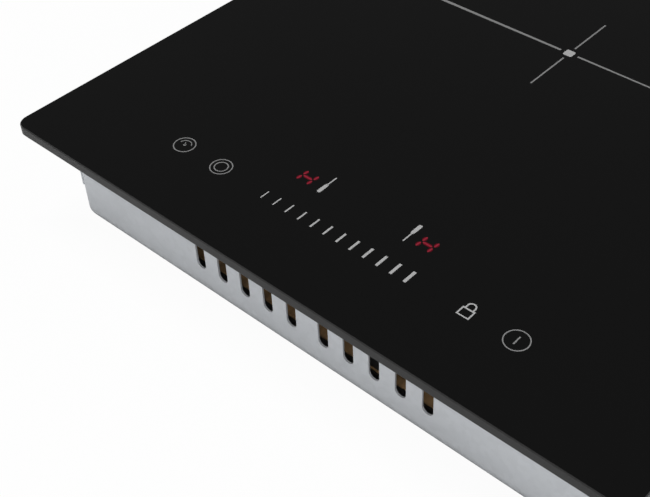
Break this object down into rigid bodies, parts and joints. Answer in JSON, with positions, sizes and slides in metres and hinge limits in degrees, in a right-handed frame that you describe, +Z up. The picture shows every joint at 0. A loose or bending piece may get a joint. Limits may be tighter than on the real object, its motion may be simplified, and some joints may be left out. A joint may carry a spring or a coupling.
{
  "type": "two-zone induction cooktop",
  "caption": "Narrow built-in induction cooktop: bevelled black glass over a vented steel tray, with coils, power board, fan and a hinged terminal cover.",
  "frame": {"origin": "centre of the footprint, on the plane of the tray's underside", "axes": "+Z up, -Y towards the user's side with the touch controls, +X to the user's right"},
  "size_m": [0.288, 0.52, 0.056],
  "materials": {
    "black_glass": "polished black glass ceramic with a ground bevel",
    "foam": "closed-cell foam",
    "buffer_rubber": "silicone rubber",
    "silicone": "cured silicone",
    "galvanised_steel": "zinc-coated sheet",
    "screw_steel": "zinc-plated",
    "sheet_aluminium": "mill finish",
    "litz_copper": "enamelled litz wire",
    "former_plastic": "glass-filled plastic",
    "ferrite": "sintered ferrite",
    "mica": "mica sheet",
    "white_plastic": "moulded plastic",
    "brown_board": "phenolic board with lacquer",
    "green_board": "glass-fibre board with solder resist",
    "black_component": "moulded case",
    "capacitor_case": "moulded case",
    "stud_brass": "tinned brass",
    "display_red": "tinted display window",
    "lead_sleeve": "sleeved lead",
    "box_plastic": "moulded plastic"
  },
  "bodies": {
    "root": {"board_carrier": "former_plastic", "bond_bead": "silicone", "cable_bush": "box_plastic", "carrier_frame": "galvanised_steel", "choke": "capacitor_case", "clamp_saddle": "box_plastic", "coil_buffers_front": "buffer_rubber", "coil_buffers_rear": "buffer_rubber", "coil_former_front": "former_plastic", "coil_former_rear": "former_plastic", "coil_plate": "sheet_aluminium", "coil_shield_front": "sheet_aluminium", "coil_shield_rear": "sheet_aluminium", "connectors": "white_plastic", "control_chips": "black_component", "display_left": "display_red", "display_right": "display_red", "edge_seal": "foam", "electrolytic_cans": "black_component", "fan_housing": "former_plastic", "fan_lead": "lead_sleeve", "fan_motor": "black_component", "ferrites_front": "ferrite", "ferrites_rear": "ferrite", "film_capacitors": "capacitor_case", "glass_plate": "black_glass", "heat_sink": "sheet_aluminium", "hinge_pin": "screw_steel", "insulation_front": "mica", "insulation_rear": "mica", "lead_studs": "stud_brass", "pin_strip": "black_component", "power_board": "brown_board", "power_chips": "black_component", "relays": "black_component", "sensor_front": "white_plastic", "sensor_leads": "lead_sleeve", "sensor_rear": "white_plastic", "sink_posts": "screw_steel", "supply_leads": "lead_sleeve", "terminal_block": "white_plastic", "terminal_box": "box_plastic", "terminal_screws": "screw_steel", "touch_board": "green_board", "touch_carrier": "former_plastic", "touch_chip": "black_component", "touch_ribbon": "lead_sleeve", "touch_springs": "stud_brass", "transformer": "capacitor_case", "tray": "galvanised_steel", "tray_screws": "screw_steel", "winding_front": "litz_copper", "winding_rear": "litz_copper"},
    "fan": {"fan_rotor": "former_plastic", "fan_axle": "screw_steel"},
    "cover": {"terminal_cover": "box_plastic"}
  },
  "joints": [
    {"name": "fan_spin", "type": "hinge", "parent": "root", "child": "fan", "pos_m": [0.066, 0.132, 0.014], "axis": [0, 0, 1], "continuous": true},
    {"name": "cover_swing", "type": "hinge", "parent": "root", "child": "cover", "pos_m": [-0.087, 0.241, 0.0149], "axis": [-1, 0, 0], "range_deg": [0, 90]}
  ]
}
